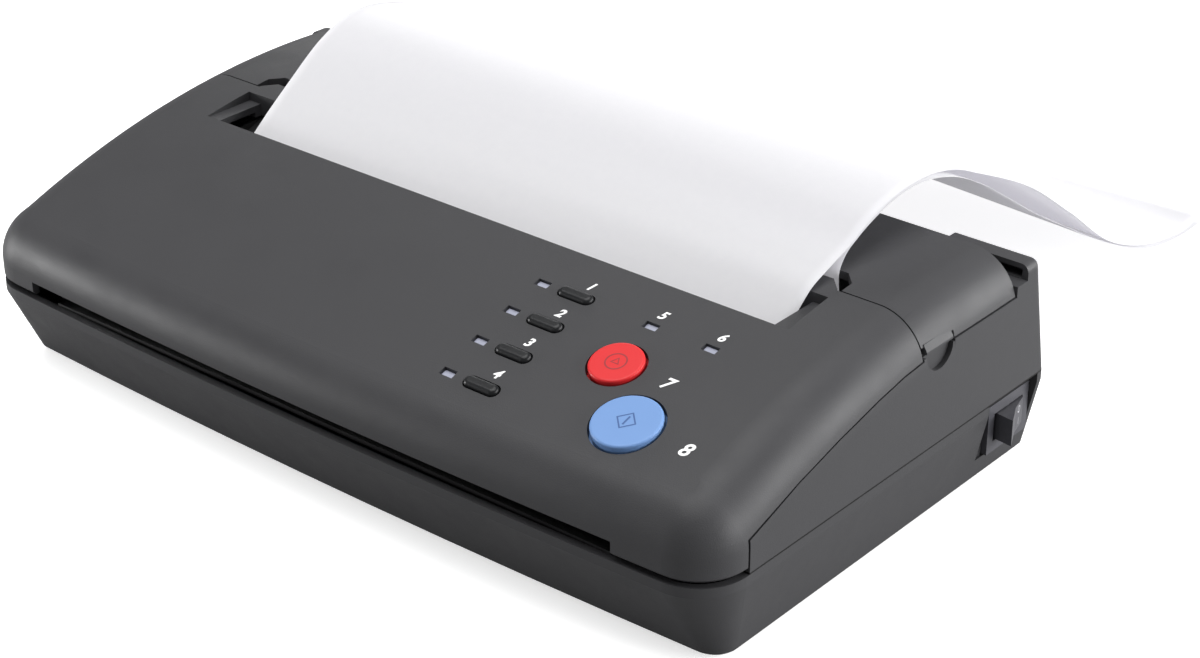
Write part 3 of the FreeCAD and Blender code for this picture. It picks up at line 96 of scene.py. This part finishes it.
# Camera: place and angles found from the photograph; its focal length is a share of the width
CAMERA_SPOT = (476.67, -516.91, 393.5)
YAW, PITCH, ROLL = (math.radians(a) for a in (40.14, 27.75, -0.24))
FOCAL_SHARE = 2583.65 / 1200
SENSOR_WIDTH = 36


def add_camera():
    forward = Vector((-math.sin(YAW) * math.cos(PITCH), math.cos(YAW) * math.cos(PITCH),
                      -math.sin(PITCH)))
    level = Vector((math.cos(YAW), math.sin(YAW), 0))
    above = level.cross(forward)
    right = level * math.cos(ROLL) + above * math.sin(ROLL)
    up = above * math.cos(ROLL) - level * math.sin(ROLL)
    turn = Matrix((right, up, -forward)).transposed()
    data = bpy.data.cameras.new("camera")
    data.sensor_fit = "HORIZONTAL"
    data.sensor_width = SENSOR_WIDTH
    data.lens = SENSOR_WIDTH * FOCAL_SHARE
    data.clip_start = 0.01
    data.clip_end = 50
    camera = bpy.data.objects.new("camera", data)
    camera.matrix_world = Matrix.Translation(place(*CAMERA_SPOT)) @ turn.to_4x4()
    bpy.context.scene.collection.objects.link(camera)
    bpy.context.scene.camera = camera


add_camera()


# Materials

def linear(code):
    """An sRGB colour written as six hexadecimal digits, as linear values with an alpha of 1."""
    shares = [int(code[i:i + 2], 16) / 255 for i in (0, 2, 4)]
    return tuple(s / 12.92 if s <= 0.04045 else ((s + 0.055) / 1.055) ** 2.4
                 for s in shares) + (1.0,)


WHITE_LIGHT = (1, 1, 1, 1)


def add(tree, kind, inputs=None, **settings):
    """Adds a node, sets its settings, and links or sets its inputs."""
    node = tree.nodes.new("ShaderNode" + kind)
    for name, value in settings.items():
        setattr(node, name, value)
    for name, value in (inputs or {}).items():
        if isinstance(value, bpy.types.NodeSocket):
            tree.links.new(value, node.inputs[name])
        else:
            node.inputs[name].default_value = value
    return node


def empty_tree(owner):
    """Node tree of a material or a world, with nothing in it."""
    owner.use_nodes = True
    owner.node_tree.nodes.clear()
    return owner.node_tree


def pick_by_camera(tree, others, camera):
    """Shader that gives camera rays one shader and all other rays another."""
    path = add(tree, "LightPath")
    return add(tree, "MixShader", {"Fac": path.outputs["Is Camera Ray"], 1: others.outputs[0],
                                   2: camera.outputs[0]}).outputs[0]


# The dark line that stands for the shadow in the seam between the base pan and the casing
SEAM_HEIGHT = 27.5
SEAM_LINE_RISE = 0.2
SEAM_LINE_Z = (SEAM_HEIGHT + ORIGIN[2] + SEAM_LINE_RISE) * MM
SEAM_HALF_WIDTH = 0.32 * MM
SEAM_SHADOW_COLOR = "050505"


def shade(name, color, rough, grain=0.0, grain_scale=900.0, mottle=0.06, mottle_scale=60.0,
          metal=0.0, rough_spread=0.06, seam=None, **extra):
    """A surface whose colour wanders a little, with a fine grain in its height and its gloss.
    The seam is the height of a dark line of painted shadow across the object."""
    material = bpy.data.materials.new(name)
    tree = empty_tree(material)
    where = add(tree, "TexCoord").outputs["Object"]
    cloud = add(tree, "TexNoise", {"Vector": where, "Scale": mottle_scale, "Detail": 4.0,
                                   "Roughness": 0.6}).outputs["Fac"]
    base = linear(color)
    darker = tuple(c * (1 - mottle) for c in base[:3]) + (1,)
    lighter = tuple(min(1, c * (1 + mottle)) for c in base[:3]) + (1,)
    tone = add(tree, "Mix", {"Factor": cloud, 6: darker, 7: lighter},
               data_type="RGBA").outputs[2]
    if seam:
        height = add(tree, "SeparateXYZ", {"Vector": where}).outputs["Z"]
        line = add(tree, "Math", {0: height, 1: seam, 2: SEAM_HALF_WIDTH},
                   operation="COMPARE").outputs[0]
        tone = add(tree, "Mix", {"Factor": line, 6: tone, 7: linear(SEAM_SHADOW_COLOR)},
                   data_type="RGBA").outputs[2]
    gloss = add(tree, "MapRange", {"Value": cloud, "From Min": 0.3, "From Max": 0.7,
                                   "To Min": rough - rough_spread,
                                   "To Max": rough + rough_spread})
    inputs = {"Base Color": tone, "Roughness": gloss.outputs["Result"], "Metallic": metal}
    inputs.update(extra)
    if grain:
        fine = add(tree, "TexNoise", {"Vector": where, "Scale": grain_scale, "Detail": 3.0,
                                      "Roughness": 0.55})
        bump = add(tree, "Bump", {"Height": fine.outputs["Fac"], "Strength": grain,
                                  "Distance": 0.0002})
        inputs["Normal"] = bump.outputs["Normal"]
    surface = add(tree, "BsdfPrincipled", inputs)
    add(tree, "OutputMaterial", {"Surface": surface.outputs["BSDF"]})
    return material


CASE_LOOK = {"color": "3B3B3D", "rough": 0.48, "grain": 0.22, "grain_scale": 2600.0,
             "mottle": 0.03, "Specular IOR Level": 0.24}
CAP_LOOK = {"rough": 0.38, "grain": 0.05, "grain_scale": 2200.0, "mottle": 0.02,
            "Specular IOR Level": 0.3}
case_plastic = shade("case_spark_textured_abs", **CASE_LOOK)
# The casing's material also paints the shadow in its seam with the base pan as a dark line
casing_plastic = shade("casing_spark_textured_abs", seam=SEAM_LINE_Z, **CASE_LOOK)
red_plastic = shade("stop_cap_moulded_abs", "D0282B", **CAP_LOOK)
blue_plastic = shade("copy_cap_moulded_abs", "6E92C6", **CAP_LOOK)
key_plastic = shade("key_caps_black_abs", "17181A", 0.34, grain=0.05, grain_scale=2000.0,
                    **{"Specular IOR Level": 0.3})
lens_plastic = shade("lamp_windows_frosted_acrylic", "A7AABB", 0.35, mottle=0.04)
black_plastic = shade("inner_parts_black_polyamide", "151516", 0.5, grain=0.3,
                      grain_scale=1500.0)
rocker_plastic = shade("power_switch_polyamide", "45454A", 0.36, grain=0.15, grain_scale=1800.0)
foot_rubber = shade("feet_moulded_rubber", "1A1A1A", 0.85, grain=0.3, grain_scale=1200.0)
roller_rubber = shade("rollers_ground_silicone", "2A2A2B", 0.62, grain=0.2, grain_scale=1800.0)
turned_steel = shade("shafts_turned_steel", "B9BBBE", 0.24, grain=0.1, grain_scale=1500.0,
                     metal=1.0)
plated_sheet = shade("plates_zinc_plated_sheet", "B4B7B4", 0.36, grain=0.15, grain_scale=700.0,
                     mottle=0.12, mottle_scale=35.0, metal=1.0)
turned_brass = shade("bushes_turned_brass", "C9A35C", 0.28, grain=0.08, metal=1.0)
gear_acetal = shade("gears_moulded_acetal", "E4E1D6", 0.38, grain=0.05, mottle=0.02)
fin_aluminium = shade("heat_sink_extruded_aluminium", "C4C6C9", 0.33, grain=0.15, metal=1.0)
head_ceramic = shade("print_head_glazed_ceramic", "8E8577", 0.22, grain=0.03, mottle=0.05)
board_lacquer = shade("boards_green_lacquer", "1E6B3A", 0.3, grain=0.12, grain_scale=500.0,
                      mottle=0.15, mottle_scale=220.0)
print_white = shade("panel_print_white_ink", "F2F2F2", 0.5, mottle=0.01)
# The stop and copy symbols are engraved in the caps: their darker colours are painted shade of
# the engraving, drawn on thin raised bands
stop_mark_painted_shade = shade("stop_mark_recess_painted_shade", "8E1A20", 0.45, mottle=0.02)
copy_mark_painted_shade = shade("copy_mark_recess_painted_shade", "33588F", 0.45, mottle=0.02)
mark_grey = shade("switch_mark_ink", "B4B4B8", 0.5, mottle=0.01)
scan_glass = shade("scan_window_polished_glass", "DDE8E4", 0.03, mottle=0.0, rough_spread=0.0,
                   **{"Transmission Weight": 0.9, "IOR": 1.5})


def thin_paper():
    """Paper that scatters light back and lets a share of it through, with a faint fibre
    texture. It also glows a little: no property of paper, but set so that the render is about
    as bright as the photograph."""
    material = bpy.data.materials.new("copy_paper_uncoated")
    tree = empty_tree(material)
    where = add(tree, "TexCoord").outputs["Object"]
    cloud = add(tree, "TexNoise", {"Vector": where, "Scale": 400.0, "Detail": 4.0})
    tone = add(tree, "Mix", {"Factor": cloud.outputs["Fac"], 6: linear("D4D4D5"),
                             7: linear("D9D9D9")}, data_type="RGBA").outputs[2]
    fibre = add(tree, "TexNoise", {"Vector": where, "Scale": 1600.0, "Detail": 3.0})
    bump = add(tree, "Bump", {"Height": fibre.outputs["Fac"], "Strength": 0.2,
                              "Distance": 0.0001})
    front = add(tree, "BsdfDiffuse", {"Color": tone, "Roughness": 0.9,
                                      "Normal": bump.outputs["Normal"]})
    through = add(tree, "BsdfTranslucent", {"Color": linear("DEDBE8")})
    both = add(tree, "MixShader", {"Fac": 0.25, 1: front.outputs[0], 2: through.outputs[0]})
    bright = add(tree, "Emission", {"Color": linear("F6F6F7"), "Strength": 0.18})
    lifted = add(tree, "AddShader", {0: both.outputs[0], 1: bright.outputs[0]})
    add(tree, "OutputMaterial", {"Surface": lifted.outputs[0]})
    return material


paper_white = thin_paper()

FINISHES = (
    (case_plastic, "base_pan control_cover rear_lid"),
    (casing_plastic, "casing"),
    (red_plastic, "stop_button"),
    (blue_plastic, "copy_button"),
    (key_plastic, "key_1 key_2 key_3 key_4"),
    (lens_plastic, "indicator_lenses"),
    (black_plastic, "tact_switches power_jack scan_bar document_chute exit_guide board_parts"),
    (rocker_plastic, "switch_body power_rocker"),
    (foot_rubber, "rubber_feet"),
    (roller_rubber, "feed_roller platen_roller"),
    (turned_steel, "base_screws lid_hinge_pins cover_hinge_pins control_board_screws tie_bar "
                   "feed_shaft platen_shaft front_idler_axle rear_idler_axle motor_shaft "
                   "head_springs main_board_screws"),
    (plated_sheet, "left_chassis_plate right_chassis_plate motor_body document_guide"),
    (turned_brass, "switch_terminals roller_bushes motor_pinion"),
    (gear_acetal, "feed_gear platen_gear front_idler rear_idler"),
    (fin_aluminium, "heat_sink"),
    (head_ceramic, "thermal_head"),
    (board_lacquer, "control_board main_board"),
    (scan_glass, "scan_glass"),
    (paper_white, "original_sheet transfer_sheet"),
)


def dress(obj, material):
    obj.data.materials.clear()
    obj.data.materials.append(material)


for finish, node_names in FINISHES:
    for node_name in node_names.split():
        dress(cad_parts[node_name], finish)


# New pieces

def mesh_object(name, points, faces, material, smooth=True):
    """Object from points of the frame and faces given as rows of point numbers."""
    mesh = bpy.data.meshes.new(name)
    mesh.from_pydata([tuple(p) for p in points], [], [tuple(f) for f in faces])
    mesh.validate()
    if smooth:
        mesh.polygons.foreach_set("use_smooth", [True] * len(mesh.polygons))
    mesh.update()
    obj = bpy.data.objects.new(name, mesh)
    bpy.context.scene.collection.objects.link(obj)
    dress(obj, material)
    return obj


def grid_faces(rows, columns):
    """Quads of a grid of points numbered row by row."""
    corner = np.arange(rows - 1)[:, None] * columns + np.arange(columns - 1)[None, :]
    corner = corner.ravel()
    return np.stack([corner, corner + 1, corner + columns + 1, corner + columns], axis=1)


# The sheets: A4, and the points (y, z) of their left and right edges from the front end
SHEET_LENGTH = 297.0
SHEET_WIDTH = 210.0
SHEET_RIGHT = 110.5
PAPER_THICKNESS = 0.1
ORIGINAL_RIGHT = (
    (-23.7, 46.2), (-19.0, 50.6), (-6.0, 60.2), (2.0, 66.0), (8.0, 70.5), (16.0, 73.6),
    (25.4, 76.8), (38.2, 82.2), (54.0, 85.2), (65.8, 84.9), (78.2, 82.2), (93.5, 75.6),
    (125.7, 59.3), (148.7, 43.3), (183.2, 19.0), (217.0, 7.8), (238.3, 6.8), (246.0, 10.5))
ORIGINAL_LEFT = (
    (-23.7, 46.2), (-19.0, 51.3), (-6.0, 63.2), (11.2, 76.3), (27.8, 87.2), (37.2, 90.9),
    (48.8, 91.7), (55.8, 90.6), (62.9, 88.7), (86.8, 77.1), (112.0, 64.9), (138.5, 52.1),
    (166.4, 38.6), (195.9, 24.3), (227.0, 9.2), (246.0, 1.5))
TRANSFER_START = (
    (13.9, 26.4), (17.3, 29.4), (19.2, 34.0), (22.0, 42.0), (23.4, 50.0))
TRANSFER_RIGHT = TRANSFER_START + (
    (22.9, 58.0), (21.4, 66.0), (21.4, 70.6), (24.0, 74.6), (29.9, 78.0), (38.2, 81.2),
    (54.0, 84.1), (65.8, 83.3), (78.2, 79.9), (93.5, 72.5), (109.6, 62.2), (126.4, 51.0),
    (149.5, 37.2), (177.1, 21.4), (205.0, 9.0), (232.0, 4.6), (252.0, 5.4))
TRANSFER_LEFT = TRANSFER_START + (
    (22.7, 58.0), (21.2, 66.0), (21.0, 71.5), (24.0, 77.5), (29.8, 84.0), (38.2, 89.0),
    (48.8, 90.4), (55.8, 89.4), (62.9, 87.5), (86.8, 75.9), (112.0, 63.6), (138.5, 50.8),
    (166.4, 37.3), (195.9, 23.0), (227.0, 7.9), (246.0, 0.6))


def smooth_line(points, count, fine_steps=4000):
    """Evenly spaced points on a smooth curve through the given ones, over the sheet's length:
    cubic pieces whose slope at each point follows its two neighbours, measured by the distance
    between points."""
    p = np.asarray(points, float)
    chord = np.concatenate([[0], np.cumsum(np.hypot(*np.diff(p, axis=0).T))])
    slope = np.gradient(p, chord, axis=0)
    t = np.linspace(0, chord[-1], fine_steps)
    k = np.clip(np.searchsorted(chord, t, side="right") - 1, 0, len(chord) - 2)
    h = (chord[k + 1] - chord[k])[:, None]
    u = ((t - chord[k])[:, None]) / h
    curve = ((1 + 2 * u) * (1 - u) ** 2 * p[k] + u * (1 - u) ** 2 * h * slope[k]
             + u ** 2 * (3 - 2 * u) * p[k + 1] + u ** 2 * (u - 1) * h * slope[k + 1])
    walked = np.concatenate([[0], np.cumsum(np.hypot(*np.diff(curve, axis=0).T))])
    want = np.linspace(0, SHEET_LENGTH, count)
    return np.stack([np.interp(want, walked, curve[:, 0]),
                     np.interp(want, walked, curve[:, 1])], axis=1)


def paper_sheet(name, left, right, rows=240, columns=60):
    """Sheet ruled between its two side edges: each cross line is straight, from the left edge
    to the right one."""
    left_line, right_line = smooth_line(left, rows), smooth_line(right, rows)
    share = np.linspace(0, 1, columns)[None, :, None]
    yz = left_line[:, None, :] * (1 - share) + right_line[:, None, :] * share
    x = np.broadcast_to(SHEET_RIGHT - SHEET_WIDTH * (1 - share[..., 0]), yz.shape[:2])
    points = place_array(np.dstack([x, yz]).reshape(-1, 3))
    sheet = mesh_object(name, points, grid_faces(rows, columns)[:, ::-1], paper_white)
    wall = sheet.modifiers.new("thickness", "SOLIDIFY")
    wall.thickness = PAPER_THICKNESS * MM
    wall.offset = 0
    return sheet


original = paper_sheet("original_paper", ORIGINAL_LEFT, ORIGINAL_RIGHT)
transfer = paper_sheet("transfer_paper", TRANSFER_LEFT, TRANSFER_RIGHT)
for sheet, node in ((original, "original_sheet"), (transfer, "transfer_sheet")):
    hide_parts(node)
    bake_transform(sheet)


# Numbers and marks

def panel_matrix(x, y, lift, tilt):
    """Place at (x, y) on the panel's arc, turned by the tilt, lift above its surface."""
    turn = Matrix.Rotation(tilt, 4, "X")
    raised = Matrix.Translation((0, 0, lift * MM))
    return Matrix.Translation(place(x, y, top_z(y))) @ turn @ raised


def ride_in_slot(obj, body):
    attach(obj, body)


PRINT_HALF_THICKNESS = 0.02
CURVE_STEPS = 6


def printed(name, words, size, matrix, material, body, lean=0.0, bold=0.0):
    """Words as a thin raised mesh, about their middle."""
    curve = bpy.data.curves.new(name, "FONT")
    curve.body = words
    curve.size = size * MM
    curve.align_x = "CENTER"
    curve.align_y = "CENTER"
    curve.shear = lean
    curve.extrude = PRINT_HALF_THICKNESS * MM
    curve.offset = bold * MM
    curve.resolution_u = CURVE_STEPS
    loose = bpy.data.objects.new(name, curve)
    bpy.context.scene.collection.objects.link(loose)
    bpy.context.view_layer.update()
    mesh = bpy.data.meshes.new_from_object(loose)
    bpy.data.objects.remove(loose)
    mesh.transform(matrix)
    mesh.name = name
    obj = bpy.data.objects.new(name, mesh)
    bpy.context.scene.collection.objects.link(obj)
    dress(obj, material)
    ride_in_slot(obj, body)


# Labels: name, words, x, y and height. The first key is at KEY_X, KEY_Y
KEY_X, KEY_Y, KEY_STEP = 54.3, -26.4, -13.3
KEY_LABEL_SIDE, KEY_LABEL_BEHIND = 1.0, 5.2
SMALL_LABEL = 4.6
LABEL_LIFT = 0.03
LABELS = [("label_key_%d" % (i + 1), str(i + 1), KEY_X + KEY_LABEL_SIDE,
           KEY_Y + KEY_STEP * i + KEY_LABEL_BEHIND, SMALL_LABEL) for i in range(4)]
LABELS += [("label_lamp_5", "5", 81.8, -21.8, SMALL_LABEL),
           ("label_lamp_6", "6", 102.5, -21.8, SMALL_LABEL),
           ("label_stop_7", "7", 100.6, -43.6, 6.0), ("label_copy_8", "8", 120.5, -60.6, 6.4)]
for name, words, x, y, size in LABELS:
    printed(name, words, size, panel_matrix(x, y, LABEL_LIFT, top_tilt(y)), print_white, "cover",
            lean=0.25, bold=0.14)


def band(name, outline, width, matrix, material, body):
    """Flat closed band: the outline, and the same outline shrunk about its middle by the
    width, joined by quads."""
    outer = np.asarray(outline, float)
    inner = outer * (1 - width / np.hypot(*outer.T).max())
    count = len(outer)
    points = [matrix @ Vector((x * MM, y * MM, 0)) for x, y in np.concatenate([outer, inner])]
    faces = [(k, (k + 1) % count, (k + 1) % count + count, k + count) for k in range(count)]
    ride_in_slot(mesh_object(name, points, faces, material, smooth=False), body)


def ring(radius, corners, turn=0.0):
    """Corners of a regular outline: radius (cos t, sin t), with t in equal steps from the
    turn."""
    t = np.linspace(0, 2 * math.pi, corners, endpoint=False) + turn
    return np.stack([radius * np.cos(t), radius * np.sin(t)], axis=1)


# The caps are flat, so their faces are tilted like the middle of the panel
PANEL_TILT = top_tilt(PANEL_MIDDLE)
STOP_FACE = panel_matrix(83.5, -43.7, 1.13, PANEL_TILT)
COPY_FACE = panel_matrix(100.5, -59.9, 1.23, PANEL_TILT)
STROKE = ((-0.3, -1.7), (0.3, -1.7), (0.3, 1.7), (-0.3, 1.7))
# The symbols on the caps, in the painted shade of their engraving
for name, outline, width in (("mark_stop_ring", ring(3.3, 48), 0.45),
                             ("mark_stop_triangle", ring(1.7, 3, math.pi / 2), 0.6)):
    band(name, outline, width, STOP_FACE, stop_mark_painted_shade, "stop")
for name, outline, width in (("mark_copy_square", ring(3.4, 4), 0.6),
                             ("mark_copy_stroke", STROKE, 1.7)):
    band(name, outline, width, COPY_FACE, copy_mark_painted_shade, "copy")

# The rocker's pressed rear half: along its face to the rear, and out of its face
ROCKER_ALONG = Vector((-2.0, 7.2, 0)).normalized()
ROCKER_OUT = Vector((7.2, 2.0, 0)).normalized()
ROCKER_MARK_ALONG = 3.6
for name, words, z in (("mark_switch_off", "O", 18.4), ("mark_switch_on", "I", 14.4)):
    matrix = Matrix((ROCKER_ALONG, Vector((0, 0, 1)), ROCKER_OUT)).transposed().to_4x4()
    matrix.translation = (place(145.5, 64.4, z) + ROCKER_ALONG * ROCKER_MARK_ALONG * MM
                          + ROCKER_OUT * LABEL_LIFT * MM)
    printed(name, words, 3.2, matrix, mark_grey, "rocker")


# Room, lamps and background

def ground_material():
    """Ground that lights the machine as a grey one would, while the camera sees it pale and
    brightened, so that it reads as white and keeps the shadow."""
    material = bpy.data.materials.new("ground_pale_paper")
    tree = empty_tree(material)
    shaders = []
    for color, strength in (("9A9A9A", 0.1), ("F4F4F4", 0.62)):
        matt = add(tree, "BsdfDiffuse", {"Color": linear(color)})
        glow = add(tree, "Emission", {"Color": WHITE_LIGHT, "Strength": strength})
        shaders.append(add(tree, "AddShader", {0: matt.outputs[0], 1: glow.outputs[0]}))
    add(tree, "OutputMaterial", {"Surface": pick_by_camera(tree, *shaders)})
    return material


FLOOR_HALF = 6.0
floor_points = [(sx * FLOOR_HALF, sy * FLOOR_HALF, 0)
                for sx, sy in ((-1, -1), (1, -1), (1, 1), (-1, 1))]
mesh_object("floor", floor_points, [(0, 1, 2, 3)], ground_material(), smooth=False)


def add_world():
    """Soft light from all sides, and a white background for the camera."""
    world = bpy.data.worlds.new("studio")
    tree = empty_tree(world)
    soft, white = (add(tree, "Background", {"Color": WHITE_LIGHT, "Strength": strength})
                   for strength in (0.27, 1.0))
    add(tree, "OutputWorld", {"Surface": pick_by_camera(tree, soft, white)})
    bpy.context.scene.world = world


add_world()

# Lamps in metres and watts: name, spot, aim, width, height, power
LAMPS = (
    ("lamp_above", (-0.1, -0.12, 1.3), (-0.03, 0, 0), 1.2, 1.2, 19.5),
    ("lamp_right", (1.15, 0.7, 0.36), (0, 0, 0.03), 1.8, 0.7, 37.0),
    ("lamp_front", (-0.5, -0.4, 0.05), (-0.14, -0.12, 0.02), 0.16, 0.16, 2.2),
    ("lamp_rear", (-0.95, 0.95, 0.5), (-0.1, 0.0, 0.07), 0.5, 0.5, 1.9),
)
for name, spot, aim, width, height, power in LAMPS:
    data = bpy.data.lights.new(name, "AREA")
    data.shape = "RECTANGLE"
    data.size = width
    data.size_y = height
    data.energy = power
    lamp = bpy.data.objects.new(name, data)
    lamp.location = spot
    lamp.rotation_euler = (Vector(aim) - Vector(spot)).to_track_quat("-Z", "Y").to_euler()
    bpy.context.scene.collection.objects.link(lamp)

bpy.context.scene.view_settings.view_transform = "Standard"
